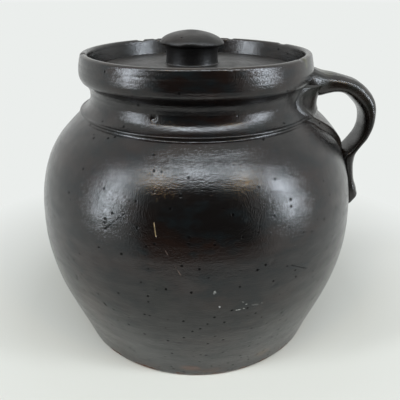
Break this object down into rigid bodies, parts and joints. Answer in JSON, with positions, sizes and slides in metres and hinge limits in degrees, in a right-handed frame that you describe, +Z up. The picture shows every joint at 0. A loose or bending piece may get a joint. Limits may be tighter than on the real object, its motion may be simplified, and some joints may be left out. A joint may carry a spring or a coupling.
{
  "type": "lidded bean pot",
  "caption": "Dark-glazed stoneware bean pot with a wide collar, a drop-in lid with a mushroom knob and one pulled strap handle.",
  "frame": {"origin": "centre of the flat base, on the pot's turning axis", "axes": "+Z up along the turning axis, +X towards the handle, +Y away from the side that the picture shows"},
  "size_m": [0.2103, 0.2, 0.1917],
  "materials": {
    "pot_glaze": "gloss slip glaze, nearly black brown",
    "handle_glaze": "gloss slip glaze, nearly black with an olive cast",
    "lid_glaze": "semi-gloss slip glaze, worn a little brown"
  },
  "bodies": {
    "pot": {"pot_body": "pot_glaze", "strap_handle": "handle_glaze", "handle_backing": "handle_glaze"},
    "lid": {"lid_plate": "lid_glaze", "lid_knob": "lid_glaze"}
  },
  "joints": [
    {"name": "lid_lift", "type": "slide", "parent": "pot", "child": "lid", "axis": [0, 0, 1], "range_m": [0, 0.08]}
  ]
}
